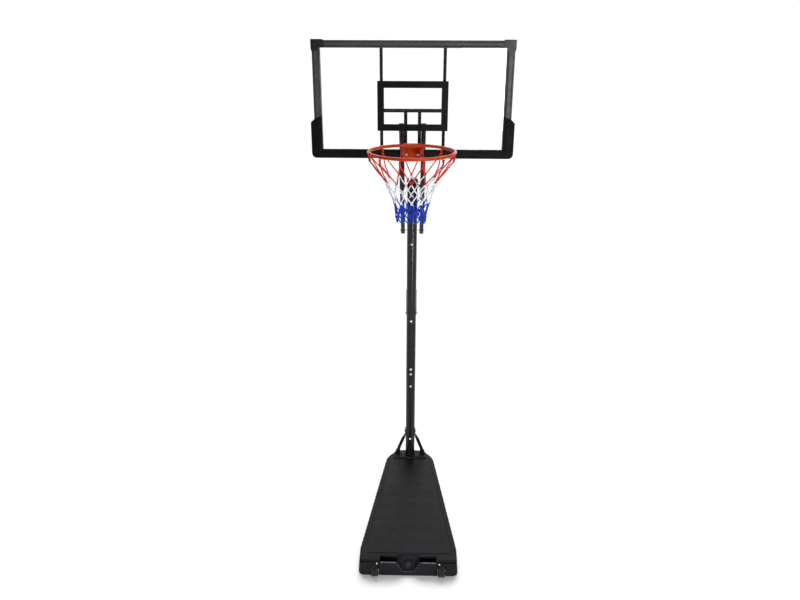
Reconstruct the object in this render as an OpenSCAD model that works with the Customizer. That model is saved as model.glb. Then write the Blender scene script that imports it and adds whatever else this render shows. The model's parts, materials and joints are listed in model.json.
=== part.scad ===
// Portable basketball hoop on a wheeled, fillable base.
// Frame: origin at the centre of the base's flat underside, +Z up,
// +Y towards the pole (back), the board and ring face -Y.

/* [Base tank] */
// Length of the tank, front to back
tank_len = 1197; // [1150:1:1240]
// Half width of the tank at its wide front end
tank_half_w = 315; // [306:1:318]
// Height of the tank's top at the front
tank_h_front = 105; // [102:1:112]
// Height of the tank's top at the back
tank_h_back = 160; // [156:1:163]
// Wall thickness of the tank
tank_wall = 6; // [5:0.5:8]
// Radius of the tank's back corners
tank_back_r = 150; // [146:1:152]

/* [Wheels] */
// Radius of each wheel
wheel_r = 40; // [36:1:40]
// Height of the wheel axle above the floor
wheel_z = 42; // [41:1:43]
// Width of each wheel
wheel_w = 44; // [30:1:44]

/* [Pole] */
// Outer diameter of the pole tubes
pole_d = 69; // [66:0.5:69.5]
// Wall thickness of the pole tubes
pole_t = 2; // [1.5:0.25:2.5]
// Height of the joint between lower and middle pole
joint_low = 750; // [740:5:770]
// Height of the joint between middle and upper pole
joint_high = 1285; // [1275:5:1295]
// Height of the pole's top end
pole_top = 2335; // [2332:1:2345]

/* [Lift arms] */
// Width and depth of the square arm tubes
arm_s = 28; // [26:1:28]
// Distance from the centre plane to each arm's centre
arm_x = 66.5; // [66:0.5:68]
// Height of the lower arm pivot on the pole
pivot_low = 2128; // [2120:1:2134]
// Vertical distance between lower and upper pivots
pivot_gap = 170; // [165:1:175]
// Length of the lower arm behind the pole, pivot to bolt
arm_tail = 280; // [270:1:285]
// Height of the lower arm pivot on the board
board_pivot = 2578; // [2576:1:2582]

/* [Board] */
// Width of the board's frame
board_w = 1153; // [1140:1:1160]
// Height of the board's lower edge
board_z0 = 2571; // [2568:1:2572]
// Height of the board's upper edge
board_z1 = 3231; // [3200:1:3260]
// Width of the frame tubes at the sides
side_w = 46; // [44:1:48]
// Thickness of the clear panel
panel_t = 5; // [4:0.5:5]
// Outer width of the target square
target_w = 412; // [400:1:430]
// Outer height of the target square
target_h = 282; // [270:1:300]
// Line width of the target square
target_line = 39; // [30:1:45]

/* [Rim] */
// Inner diameter of the ring
ring_d = 450; // [440:1:460]
// Diameter of the ring's rod
rod_d = 18; // [16:1:18]
// Height of the ring
rim_z = 2670; // [2669:0.5:2671]
// Distance from the ring's centre to the board's front face
rim_reach = 380; // [375:1:385]
// Number of net hooks
hooks = 12; // [12]

/* [Hidden] */
$fn = 48;

pole_r = pole_d / 2;
pole_y = 535;
y_back = 597;
y_front = y_back - tank_len;
slope = atan((tank_h_back - tank_h_front) / tank_len);
board_y = 20;             // front face of the board's frame
pivot_y = board_y + 55;   // arm pivots on the board
arm_dy = pole_y - pivot_y;
arm_dz = board_pivot - pivot_low;
arm_len = sqrt(arm_dy * arm_dy + arm_dz * arm_dz);
arm_a = atan2(arm_dz, arm_dy);
tail_y = pole_y + arm_tail * cos(arm_a);
tail_z = pivot_low - arm_tail * sin(arm_a);
strut_z = 1363;           // adjuster pivot on the pole
strut_len = sqrt(pow(tail_y - pole_y, 2) + pow(tail_z - strut_z, 2));
strut_a = atan2(tail_y - pole_y, tail_z - strut_z);
stroke = sqrt(pow(arm_tail, 2) + pow(pivot_low - strut_z, 2)) - strut_len;
ring_y = board_y - rim_reach;
ring_r = ring_d / 2 + rod_d / 2;
well_x0 = 190;
well_x1 = 240;
wheel_x = (well_x0 + well_x1) / 2;
foot_x = 98;              // strut foot screws
wheel_y = -602;
cap_p = [0, -570.3, 60.9];
cap_tilt = 49.46;
steel = [0.10, 0.10, 0.11];
zinc = [0.72, 0.72, 0.72];
plastic = [0.06, 0.06, 0.065];
orange = [0.85, 0.20, 0.05];

// ---- helpers ----
module box(x0, x1, y0, y1, z0, z1) {
  translate([x0, y0, z0]) cube([x1 - x0, y1 - y0, z1 - z0]);
}
module xcyl(y, z, r, x0, x1) {
  translate([x0, y, z]) rotate([0, 90, 0]) cylinder(h = x1 - x0, r = r);
}
module ycyl(x, z, r, y0, y1) {
  translate([x, y0, z]) rotate([-90, 0, 0]) cylinder(h = y1 - y0, r = r);
}
module tube_z(x, y, ro, ri, z0, z1) {
  translate([x, y, z0]) difference() {
    cylinder(h = z1 - z0, r = ro);
    translate([0, 0, -1]) cylinder(h = z1 - z0 + 2, r = ri);
  }
}
module xhex(y, z, af, x0, x1) {
  translate([x0, y, z]) rotate([0, 90, 0]) cylinder(h = x1 - x0, r = af / 2 / cos(30), $fn = 6);
}
module both() {
  children();
  mirror([1, 0, 0]) children();
}

// ---- base ----
// plan outline of the tank, inset by d
module outline(d) {
  r = tank_back_r - d;
  cx = tank_back_r == 150 ? 37 : 187 - tank_back_r;
  cy = y_back - tank_back_r;
  s = 0.138;
  n = sqrt(1 + s * s);
  w = tank_half_w - d;
  // side line: x + s*y = c
  c = cx + s * cy + r * n;
  yk = (c - w) / s;
  fr = 30;
  tx = cx + r / n;
  ty = cy + r * s / n;
  polygon([[-cx, y_back - d], [cx, y_back - d], [cx + 1, cy], [tx, ty], [w, yk],
    [w, y_front + fr], [tank_half_w - fr, y_front + d],
    [-(tank_half_w - fr), y_front + d], [-w, y_front + fr], [-w, yk],
    [-tx, ty], [-cx - 1, cy]]);
  both() {
    translate([cx, cy]) circle(r = r, $fn = 96);
    translate([tank_half_w - fr, y_front + fr]) circle(r = fr - d);
  }
}
// everything under the sloping top, lowered by d
module under_top(d) {
  translate([0, y_front, tank_h_front - d]) rotate([slope, 0, 0])
    translate([-500, -200, -500]) cube([1000, 1700, 500]);
}
module slab(d, drop, z0) {
  intersection() {
    translate([0, 0, z0]) linear_extrude(height = 260) outline(d);
    under_top(drop);
  }
}
module scoop() {
  intersection() {
    translate([0, -500, 0]) rotate([90, 0, 0]) linear_extrude(height = 140)
      polygon([[-38, 32], [38, 32], [70, 92], [70, 240], [-70, 240], [-70, 92]]);
    rotate([90, 0, 90]) translate([0, 0, -90]) linear_extrude(height = 180)
      polygon([[-530, 108], [-595, 32], [-640, 32], [-640, 260], [-530, 260]]);
  }
}
module base_tank() {
  color(plastic) difference() {
    union() {
      slab(0, 10, 0);
      slab(8, 0, 1);
      // the walls lean out towards the foot
      hull() {
        linear_extrude(height = 4) outline(-6);
        translate([0, 0, 92]) linear_extrude(height = 1) outline(0);
      }
      // bosses round the axle ends
      both() {
        xcyl(wheel_y, wheel_z, 14, well_x0 - 8, well_x0);
        xcyl(wheel_y, wheel_z, 14, well_x1, well_x1 + 8);
      }
      // raised platform round the pole and the strut feet
      intersection() {
        translate([0, 0, 1]) linear_extrude(height = 165) outline(10);
        box(-126, 126, 488, 606, 0, 166);
      }
    }
    // hollow inside
    difference() {
      union() {
        intersection() { slab(tank_wall, 16, tank_wall); box(-400, 400, -520, 700, 0, 300); }
        intersection() { slab(14, 6, tank_wall); box(-400, 400, -520, 700, 0, 300); }
      }
      translate([0, pole_y, 0]) cylinder(h = 300, r = pole_r + 8);
    }
    // socket for the pole
    translate([0, pole_y, 10]) cylinder(h = 300, r = pole_r + 0.3);
    scoop();
    // filler bore
    translate(cap_p) rotate([cap_tilt, 0, 0]) translate([0, 0, -75]) cylinder(h = 76, r = 15.3);
    both() {
      box(71, 182, -592, -548, 40, 300);                       // hand pocket
      box(well_x0, well_x1, -700, -546, -1, 84);               // wheel well
      box(194, 400, -700, -580, 88, 300);                      // corner step
      xcyl(wheel_y, wheel_z, 5.02, well_x0 - 6.5, well_x1 + 6.5);
      ycyl(201, 88, 2.52, -604, -588);
      translate([foot_x, 566, 150]) cylinder(h = 30, r = 4.02);
    }
  }
}
module cap_place() { translate(cap_p) rotate([cap_tilt, 0, 0]) children(); }
module fill_cap() {
  color(plastic) cap_place() difference() {
    union() {
      translate([0, 0, 2.4]) cylinder(h = 8, r = 20);
      translate([0, 0, 10]) cylinder(h = 3, r = 17);
      translate([0, 0, -16]) cylinder(h = 20, r = 14.9);
      translate([-15, -3, 12]) cube([30, 6, 5]);
    }
    translate([0, 0, -17]) cylinder(h = 22, r = 12);
    for (i = [0:11]) rotate([0, 0, i * 30]) translate([20.6, 0, 0]) cylinder(h = 20, r = 1.8);
  }
}
module fill_cap_gasket() {
  color([0.1, 0.1, 0.1]) cap_place() difference() {
    translate([0, 0, 0.3]) cylinder(h = 2.1, r = 19.5);
    translate([0, 0, -1]) cylinder(h = 5, r = 15.1);
  }
}
module tyre_at(x) {
  color([0.05, 0.05, 0.05]) translate([x - wheel_w / 2, wheel_y, wheel_z]) rotate([0, 90, 0])
    rotate_extrude($fn = 72) polygon([[27, 2], [wheel_r - 4, 0], [wheel_r, 5],
      [wheel_r, wheel_w / 2 - 5], [wheel_r - 2, wheel_w / 2 - 3], [wheel_r - 2, wheel_w / 2 + 3],
      [wheel_r, wheel_w / 2 + 5], [wheel_r, wheel_w - 5], [wheel_r - 4, wheel_w], [27, wheel_w - 2]]);
}
module hub_at(x) {
  color([0.12, 0.12, 0.12]) translate([x - wheel_w / 2, wheel_y, wheel_z]) rotate([0, 90, 0])
    rotate_extrude($fn = 72) polygon([[5.06, 0], [11, 0], [11, 9], [22, 9], [22, 3], [27, 3],
      [27, wheel_w - 3], [22, wheel_w - 3], [22, wheel_w - 9], [11, wheel_w - 9],
      [11, wheel_w], [5.06, wheel_w]]);
}
module left_wheel_tyre() tyre_at(-wheel_x);
module left_wheel_hub() hub_at(-wheel_x);
module right_wheel_tyre() tyre_at(wheel_x);
module right_wheel_hub() hub_at(wheel_x);
module wheel_axles() {
  color(zinc) both() xcyl(wheel_y, wheel_z, 5, well_x0 - 6, well_x1 + 6);
}
module wheel_well_screws() {
  color(zinc) both() {
    ycyl(201, 88, 2.5, -602, -589);
    ycyl(201, 88, 6, -604.4, -601.1);
  }
}
// strut: flattened top ear against the pole, round tube, flattened foot
module strut_body() {
  difference() {
    union() {
      translate([pole_r + 0.3, pole_y - 20, 345]) cube([5, 40, 52]);
      hull() {
        translate([pole_r + 0.3, pole_y - 20, 344]) cube([5, 40, 2]);
        translate([53, 546, 305]) rotate([0, 19, 0]) cylinder(h = 1, r = 16, $fn = 32);
      }
      hull() {
        translate([53, 546, 305]) rotate([0, 19, 0]) cylinder(h = 1, r = 16, $fn = 32);
        translate([foot_x - 6, 556, 196]) rotate([0, 19, 0]) cylinder(h = 1, r = 16, $fn = 32);
      }
      hull() {
        translate([foot_x - 6, 556, 196]) rotate([0, 19, 0]) cylinder(h = 1, r = 16, $fn = 32);
        translate([foot_x - 22, 540, 166.3]) cube([40, 36, 6]);
      }
    }
    xcyl(pole_y, 375, 5.02, 20, 60);
    translate([foot_x, 566, 150]) cylinder(h = 23, r = 4.02);
    translate([foot_x, 566, 172.4]) cylinder(h = 60, r = 10);
  }
}
module right_base_strut() color(steel) strut_body();
module left_base_strut() color(steel) mirror([1, 0, 0]) strut_body();
module strut_foot_screws() {
  color(zinc) both() translate([foot_x, 566, 0]) {
    translate([0, 0, 153]) cylinder(h = 20, r = 4);
    translate([0, 0, 172.5]) cylinder(h = 1.6, r = 9);
    translate([0, 0, 174]) cylinder(h = 5, r = 6.5 / cos(30), $fn = 6);
  }
}
module strut_pole_bolt() {
  xo = pole_r + 6;
  color(zinc) {
    union() {
      xcyl(pole_y, 375, 5, -xo, xo + 9);
      xhex(pole_y, 375, 16, -xo - 7, -xo + 0.5);
    }
    difference() {
      xhex(pole_y, 375, 16, xo, xo + 7.5);
      xcyl(pole_y, 375, 5.02, xo - 6, xo + 14);
    }
  }
}

// ---- pole ----
// one pole section with a reduced spigot on its upper end
module section(z0, z1, spig) {
  difference() {
    union() {
      translate([0, pole_y, z0]) cylinder(h = z1 - z0, r = pole_r, $fn = 96);
      if (spig > 0) translate([0, pole_y, z1 - 1])
        cylinder(h = spig + 1, r = pole_r - pole_t - 0.1, $fn = 96);
    }
    translate([0, pole_y, z0 - 1]) cylinder(h = z1 - z0 - (spig > 0 ? 24 : -2),
      r = pole_r - pole_t, $fn = 96);
    if (spig > 0) translate([0, pole_y, z0])
      cylinder(h = 2000, r = pole_r - 2 * pole_t - 0.1, $fn = 96);
    for (z = bolt_z) ycyl(0, z, 4.02, pole_y - 40, pole_y + 40);
    for (z = [375, strut_z, pivot_low, pivot_low + pivot_gap]) xcyl(pole_y, z, 5.02, -50, 50);
  }
}
bolt_z = [322, 782, 883, 924, 1313, 1894];
module lower_pole() color([0.12, 0.12, 0.12]) section(22, joint_low, 205);
module middle_pole() color([0.14, 0.14, 0.14]) section(joint_low + 0.4, joint_high, 155);
module upper_pole() color([0.20, 0.20, 0.22]) section(joint_high + 0.4, pole_top, 0);
module pole_foot_plug() {
  color(plastic) translate([0, pole_y, 0]) {
    translate([0, 0, 10.2]) cylinder(h = 11.6, r = pole_r - 0.2);
    difference() {
      translate([0, 0, 21]) cylinder(h = 30, r = pole_r - pole_t - 0.15);
      translate([0, 0, 24]) cylinder(h = 30, r = pole_r - pole_t - 4);
    }
  }
}
module pole_top_cap() {
  h = 16;
  rb = pole_r + 4;
  rd = rb - 0.4;
  rs = (rd * rd + h * h) / (2 * h);
  color(plastic) translate([0, pole_y, pole_top]) {
    difference() {
      translate([0, 0, -17]) cylinder(h = 22, r = rb);
      translate([0, 0, -18]) cylinder(h = 18.2, r = pole_r + 0.2);
    }
    translate([0, 0, 5]) intersection() {
      translate([0, 0, h - rs]) sphere(r = rs, $fn = 96);
      translate([0, 0, -0.3]) cylinder(h = h + 1.3, r = rb + 2);
    }
  }
}
module pole_bolts() {
  color(zinc) for (z = bolt_z) {
    ycyl(0, z, 4, pole_y - pole_r - 1, pole_y + pole_r + 10);
    translate([0, pole_y - pole_r - 0.5, z]) rotate([90, 0, 0]) {
      cylinder(h = 2.5, r = 8.5);
      translate([0, 0, 2.5]) intersection() {
        translate([0, 0, -9]) sphere(r = 12.3);
        cylinder(h = 6, r = 8.5);
      }
    }
  }
}
module pole_nuts() {
  color(zinc) for (z = bolt_z) translate([0, pole_y + pole_r + 0.3, z]) rotate([-90, 0, 0])
    difference() {
      union() {
        cylinder(h = 1.5, r = 8.5);
        translate([0, 0, 1]) cylinder(h = 6.5, r = 6.5 / cos(30), $fn = 6);
      }
      translate([0, 0, -1]) cylinder(h = 12, r = 4.02);
    }
}

// ---- lift arms ----
module arm_pole_bolts() {
  xo = arm_x + arm_s / 2;
  color(zinc) for (z = [pivot_low, pivot_low + pivot_gap]) {
    xcyl(pole_y, z, 5, -xo - 1, xo + 10);
    xcyl(pole_y, z, 10, -xo - 2.1, -xo - 0.6);
    xhex(pole_y, z, 16, -xo - 8.5, -xo - 2);
  }
}
module arm_pole_nuts() {
  xo = arm_x + arm_s / 2;
  color(zinc) for (z = [pivot_low, pivot_low + pivot_gap]) difference() {
    union() {
      xcyl(pole_y, z, 10, xo + 0.6, xo + 2.1);
      xhex(pole_y, z, 16, xo + 2, xo + 9);
    }
    xcyl(pole_y, z, 5.02, xo, xo + 12);
  }
}
module arm_pole_spacers() {
  xi = arm_x - arm_s / 2;
  color([0.15, 0.15, 0.15]) both() for (z = [pivot_low, pivot_low + pivot_gap]) difference() {
    xcyl(pole_y, z, 9, pole_r + 0.2, xi - 0.35);
    xcyl(pole_y, z, 5.02, pole_r - 5, xi + 5);
  }
}
// arm tube along local Y, pivot at the local origin
module arm_tube(x, z, y0, y1, holes) {
  h = arm_s / 2;
  translate([x, pole_y, z]) rotate([-arm_a, 0, 0]) difference() {
    box(-h, h, y0, y1, -h, h);
    box(-h + 2, h - 2, y0 - 1, y1 + 1, -h + 2, h - 2);
    for (p = holes) xcyl(p[0], 0, p[1], -h - 1, h + 1);
  }
}
module lower_arm(x) {
  color(steel) arm_tube(x, pivot_low, -arm_len - 13, arm_tail + 30,
    [[-arm_len, 5.06], [0, 5.06], [arm_tail, 5.02]]);
}
module upper_arm(x) {
  color(steel) arm_tube(x, pivot_low + pivot_gap, -arm_len - 13, 24,
    [[-arm_len, 5.3], [0, 5.06]]);
}
module lower_arm_left() lower_arm(-arm_x);
module lower_arm_right() lower_arm(arm_x);
module upper_arm_left() upper_arm(-arm_x);
module upper_arm_right() upper_arm(arm_x);
module plug(x, z, y, d) {
  h = arm_s / 2;
  translate([x, pole_y, z]) rotate([-arm_a, 0, 0]) {
    if (d > 0) { box(-h, h, y, y + 3, -h, h); box(-h + 2.2, h - 2.2, y - 8, y + 0.5, -h + 2.2, h - 2.2); }
    else { box(-h, h, y - 3, y, -h, h); box(-h + 2.2, h - 2.2, y - 0.5, y + 6, -h + 2.2, h - 2.2); }
  }
}
module lower_arm_plugs() {
  color(plastic) for (x = [-arm_x, arm_x]) {
    plug(x, pivot_low, arm_tail + 30, 1);
    plug(x, pivot_low, -arm_len - 13, -1);
  }
}
module upper_arm_plugs() {
  color(plastic) for (x = [-arm_x, arm_x]) {
    plug(x, pivot_low + pivot_gap, 24, 1);
    plug(x, pivot_low + pivot_gap, -arm_len - 13, -1);
  }
}
module tail_bolt() {
  xo = arm_x + arm_s / 2;
  color(zinc) {
    xcyl(tail_y, tail_z, 5, -xo - 1, xo + 11);
    xcyl(tail_y, tail_z, 10, -xo - 1.8, -xo - 0.2);
    xhex(tail_y, tail_z, 16, -xo - 8, -xo - 1.7);
    difference() {
      union() {
        xcyl(tail_y, tail_z, 10, xo + 0.2, xo + 1.8);
        xhex(tail_y, tail_z, 16, xo + 1.7, xo + 8.5);
      }
      xcyl(tail_y, tail_z, 5.02, xo, xo + 12);
    }
  }
}
// head bush of the adjuster on the tail bolt
module tail_bush() {
  color(steel) difference() {
    xcyl(tail_y, tail_z, 12, -18, 18);
    xcyl(tail_y, tail_z, 5.02, -20, 20);
  }
}

// ---- height adjuster ----
module on_strut() { translate([0, pole_y, strut_z]) rotate([-strut_a, 0, 0]) children(); }
module adjuster_yoke() {
  xi = pole_r + 1;
  color(steel) on_strut() difference() {
    union() {
      both() {
        box(xi, xi + 3, -14, 14, 0, 168);
        xcyl(0, 0, 14, xi, xi + 3);
      }
      box(-xi - 3, xi + 3, -14, 16, 162, 168);
    }
    xcyl(0, 0, 5.06, -50, 50);
  }
}
module adjuster_tube() {
  color(steel) on_strut() difference() {
    box(-15, 15, -15, 15, 168.2, 450);
    box(-12.5, 12.5, -12.5, 12.5, 172, 460);
    ycyl(0, 430, 4.06, 10, 20);
  }
}
module adjuster_guide() {
  color(plastic) on_strut() difference() {
    box(-17.5, 17.5, -17.5, 17.5, 450.2, 462);
    box(-12.4, 12.4, -12.4, 12.4, 440, 470);
  }
}
module adjuster_bar() {
  color([0.45, 0.45, 0.46]) on_strut() difference() {
    box(-12, 12, -12, 12, 176, strut_len - 13.8);
    box(-10, 10, -10, 10, 170, strut_len - 20);
    for (i = [0:7]) ycyl(0, 430 - i * stroke / 7, 4.5, 0, 20);
  }
}
module adjuster_pivot_bolt() {
  xo = pole_r + 4;
  color(zinc) {
    xcyl(pole_y, strut_z, 5, -xo - 1, xo + 8);
    xhex(pole_y, strut_z, 16, -xo - 6, -xo - 0.5);
    difference() {
      xhex(pole_y, strut_z, 16, xo + 0.5, xo + 6.5);
      xcyl(pole_y, strut_z, 5.02, xo, xo + 10);
    }
  }
}
module lock_pin_housing() {
  color(zinc) on_strut() difference() {
    union() {
      ycyl(0, 430, 10, 15.2, 30);
      box(-12, 12, 15.2, 18, 412, 448);
    }
    ycyl(0, 430, 4.06, 10, 40);
  }
}
module lock_pin() {
  color(plastic) on_strut() {
    ycyl(0, 430, 4, 13, 34);
    difference() {
      ycyl(0, 430, 14, 31, 50);
      for (i = [0:7]) translate([0, 0, 430]) rotate([0, i * 45, 0])
        translate([0, 30, 15.5]) rotate([-90, 0, 0]) cylinder(h = 25, r = 3);
    }
  }
}

// ---- board ----
hw = board_w / 2;
panel_y = board_y + 13;
// frame tube profile: local x = across the tube from its outer edge,
// local y = depth; the panel's groove is on the inner edge
module profile(w) {
  difference() {
    polygon([[0, 5], [5, 0], [9, 0], [13, -3], [w - 13, -3], [w - 9, 0], [w - 3, 0], [w, 3],
      [w, 30], [0, 30]]);
    translate([2.5, 5.5]) square([w - 14, 22]);
    translate([w - 8, panel_y - board_y - 0.2]) square([10, panel_t + 0.4]);
  }
}
module side_bar(z0, z1) {
  // outer edge at x = +hw
  translate([hw, board_y, z0]) mirror([1, 0, 0]) linear_extrude(height = z1 - z0) profile(side_w);
}
module flat_bar(x0, x1, zo, w, up) {
  // horizontal bar, outer edge at z = zo, inner edge above (up) or below it
  translate([x0, board_y, zo]) mirror([0, 0, up ? 0 : 1]) rotate([90, 0, 90])
    linear_extrude(height = x1 - x0) flipyz(w);
}
module flipyz(w) { mirror([1, 0]) rotate(90) profile(w); }
zt = board_z1 - 41;
zb = board_z0 + 6;
zbi = board_z0 + 52;
module frame_top() { color(steel) flat_bar(-hw, hw, board_z1, 41, false); }
module frame_bottom() { color(steel) difference() {
  flat_bar(-hw, hw, zb, zbi - zb - 6, true);
  bolt_holes();
} }
module frame_right() { color(steel) side_bar(zbi - 6 + 0.2, zt - 0.2); }
module frame_left() { color(steel) mirror([1, 0, 0]) side_bar(zbi - 6 + 0.2, zt - 0.2); }
module backboard_panel() {
  color([0.85, 0.92, 0.95, 0.35])
    box(-hw + side_w - 7, hw - side_w + 7, panel_y, panel_y + panel_t, zbi - 13, zt + 7);
}
module top_corner_caps() {
  color(plastic) both() difference() {
    union() {
      translate([0, board_y - 6.5, 0]) rotate([90, 0, 0]) mirror([0, 0, 1]) linear_extrude(height = 39)
        polygon([[hw + 4, board_z1 + 5], [hw + 4, board_z1 - 44], [hw, board_z1 - 60],
          [hw - side_w + 1, board_z1 - 56], [hw - side_w + 1, zt + 1], [hw - 74, zt + 1],
          [hw - 68, board_z1], [hw - 58, board_z1 + 5]]);
    }
    box(0, hw + 0.2, board_y - 3.3, 60, 0, board_z1 + 0.2);
  }
}
module pad_shape() {
  difference() {
    polygon([[56, board_z0], [hw + 20, board_z0], [hw + 20, board_z0 + 206], [hw, board_z0 + 226],
      [hw - side_w, board_z0 + 246], [hw - side_w, zbi], [56, zbi]]);
    translate([hw - 9, board_z0]) difference() {
      square([30, 29]);
      translate([0, 29]) circle(r = 29);
    }
  }
}
module edge_pad() {
  difference() {
    translate([0, board_y - 8, 0]) rotate([90, 0, 0]) mirror([0, 0, 1]) linear_extrude(height = 40)
      pad_shape();
    // room for the frame and the panel
    box(0, hw + 0.3, board_y - 3.3, board_y + 60, zb - 0.3, zbi - 5.8);
    box(hw - side_w - 1, hw + 0.3, board_y - 3.3, board_y + 60, zbi - 7, 4000);
    box(0, hw, panel_y - 1, board_y + 60, zbi - 7, 4000);
  }
}
module right_edge_pad() color([0.03, 0.03, 0.03]) edge_pad();
module left_edge_pad() color([0.03, 0.03, 0.03]) mirror([1, 0, 0]) edge_pad();
module target_square() {
  z0 = board_z0 + 158;
  color([0.09, 0.09, 0.09]) difference() {
    box(-target_w / 2, target_w / 2, panel_y - 1.2, panel_y - 0.02, z0, z0 + target_h);
    box(-target_w / 2 + target_line, target_w / 2 - target_line, panel_y - 5, panel_y + 5,
      z0 + target_line, z0 + target_h - target_line);
  }
}
rear_y = board_y + 30;
module bolt_holes() {
  for (x = [-183, -41, 41, 183]) ycyl(x, zb + 20, 3.02, rear_y - 14, rear_y + 60);
}
module rear_bar(x) {
  difference() {
    box(x - 9, x + 9, rear_y + 0.1, rear_y + 18, zb + 4, board_z1 - 4);
    box(x - 7.5, x + 7.5, rear_y + 1.6, rear_y + 16.5, zb + 2, board_z1);
    ycyl(x, zb + 20, 3.02, rear_y - 14, rear_y + 60);
    ycyl(x, board_z1 - 20, 3.02, rear_y - 14, rear_y + 60);
  }
}
module rear_bar_left() color(steel) rear_bar(-183);
module rear_bar_right() color(steel) rear_bar(183);
bar_z = 2833;
module rear_cross_bar() {
  color(steel) difference() {
    box(-173.8, 173.8, rear_y + 0.1, rear_y + 18, bar_z, bar_z + 20);
    box(-180, 180, rear_y + 1.6, rear_y + 16.5, bar_z + 1.5, bar_z + 18.5);
  }
}
module pivot_bar(x) {
  difference() {
    box(x - 10, x + 10, rear_y + 0.1, rear_y + 40, board_z0 - 13, bar_z - 0.2);
    box(x - 8, x + 8, rear_y + 2.1, rear_y + 38, board_z0 - 20, bar_z + 5);
    for (z = [board_pivot, board_pivot + pivot_gap]) xcyl(pivot_y, z, 5.02, x - 20, x + 20);
    ycyl(x, zb + 20, 3.02, rear_y - 14, rear_y + 60);
  }
}
module pivot_bar_left() color(steel) pivot_bar(-41);
module pivot_bar_right() color(steel) pivot_bar(41);
module board_bolt(x, z, y1) {
  ycyl(x, z, 3, rear_y - 10, y1 + 1);
  translate([x, y1 + 0.2, z]) rotate([-90, 0, 0]) {
    cylinder(h = 1.2, r = 8);
    translate([0, 0, 1]) cylinder(h = 4.5, r = 5.5 / cos(30), $fn = 6);
  }
}
module board_bolts() {
  color(zinc) {
    for (x = [-183, 183]) for (z = [zb + 20]) board_bolt(x, z, rear_y + 18);
    for (x = [-41, 41]) board_bolt(x, zb + 20, rear_y + 40);
  }
}
module arm_board_bolts() {
  xo = arm_x + arm_s / 2;
  color(zinc) both() for (z = [board_pivot, board_pivot + pivot_gap]) {
    xcyl(pivot_y, z, 5, 22, xo + 1);
    xcyl(pivot_y, z, 10, xo + 0.6, xo + 2.1);
    xhex(pivot_y, z, 16, xo + 2, xo + 8.5);
  }
}
module arm_board_nuts() {
  color(zinc) both() for (z = [board_pivot, board_pivot + pivot_gap]) difference() {
    xhex(pivot_y, z, 16, 23.5, 30.8);
    xcyl(pivot_y, z, 5.02, 20, 40);
  }
}

// ---- rim ----
module rim_ring() {
  color(orange) translate([0, ring_y, rim_z]) rotate_extrude($fn = 120)
    translate([ring_r, 0]) circle(r = rod_d / 2);
}
module rim_bracket() {
  zt2 = rim_z - rod_d / 2 - 0.2;
  z0 = board_z0 - 13;
  yb = board_y - 3.4;
  ye = ring_y + ring_r - 4;
  color(orange) difference() {
    union() {
      box(-52, 52, yb - 5, yb, z0, zt2);
      box(-52, 52, ye, yb, zt2 - 5, zt2);
      both() translate([47, 0, 0]) rotate([90, 0, 90]) linear_extrude(height = 5)
        polygon([[yb, z0 + 8], [yb, zt2], [ye, zt2], [ye, zt2 - 16], [yb - 30, z0 + 8]]);
    }
    both() ycyl(35, board_z0 + 24, 4.02, yb - 20, yb + 20);
  }
}
module rim_bolts() {
  yb = board_y - 8.4;
  color(zinc) both() {
    ycyl(35, board_z0 + 24, 4, yb - 1, board_y - 3.4);
    ycyl(35, board_z0 + 24, 9, yb - 1.8, yb - 0.2);
    translate([35, yb - 1.7, board_z0 + 24]) rotate([90, 0, 0])
      cylinder(h = 5.5, r = 6.5 / cos(30), $fn = 6);
  }
}
module net_hooks() {
  color(orange) translate([0, ring_y, rim_z - rod_d / 2 - 1.5]) for (i = [0:hooks - 1])
    rotate([0, 0, i * 360 / hooks + 15]) translate([ring_r, 0, 0]) rotate([0, 90, 90])
      rotate([0, 0, -90]) rotate_extrude(angle = 180, $fn = 32) translate([8, 0]) circle(r = 2.2);
}
module net() {
  color([0.9, 0.9, 0.9]) translate([0, ring_y, rim_z]) rotate_extrude($fn = 72)
    polygon([[232, -28], [222, -60], [148, -170], [104, -260], [84, -330], [82, -398],
      [77, -398], [79, -330], [99, -260], [143, -170], [217, -60], [227, -28]]);
}

base_tank();
fill_cap();
fill_cap_gasket();
left_wheel_tyre();
left_wheel_hub();
right_wheel_tyre();
right_wheel_hub();
wheel_axles();
wheel_well_screws();
left_base_strut();
right_base_strut();
strut_foot_screws();
strut_pole_bolt();
lower_pole();
middle_pole();
upper_pole();
pole_foot_plug();
pole_top_cap();
pole_bolts();
pole_nuts();
arm_pole_bolts();
arm_pole_nuts();
arm_pole_spacers();
lower_arm_left();
lower_arm_right();
upper_arm_left();
upper_arm_right();
lower_arm_plugs();
upper_arm_plugs();
tail_bolt();
tail_bush();
adjuster_yoke();
adjuster_tube();
adjuster_guide();
adjuster_bar();
adjuster_pivot_bolt();
lock_pin_housing();
lock_pin();
backboard_panel();
frame_top();
frame_bottom();
frame_left();
frame_right();
top_corner_caps();
left_edge_pad();
right_edge_pad();
target_square();
rear_bar_left();
rear_bar_right();
rear_cross_bar();
pivot_bar_left();
pivot_bar_right();
board_bolts();
arm_board_bolts();
arm_board_nuts();
rim_ring();
rim_bracket();
rim_bolts();
net_hooks();
net();
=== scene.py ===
import json
import math
import random

import bpy
import numpy as np
from mathutils import Matrix, Vector


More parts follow.
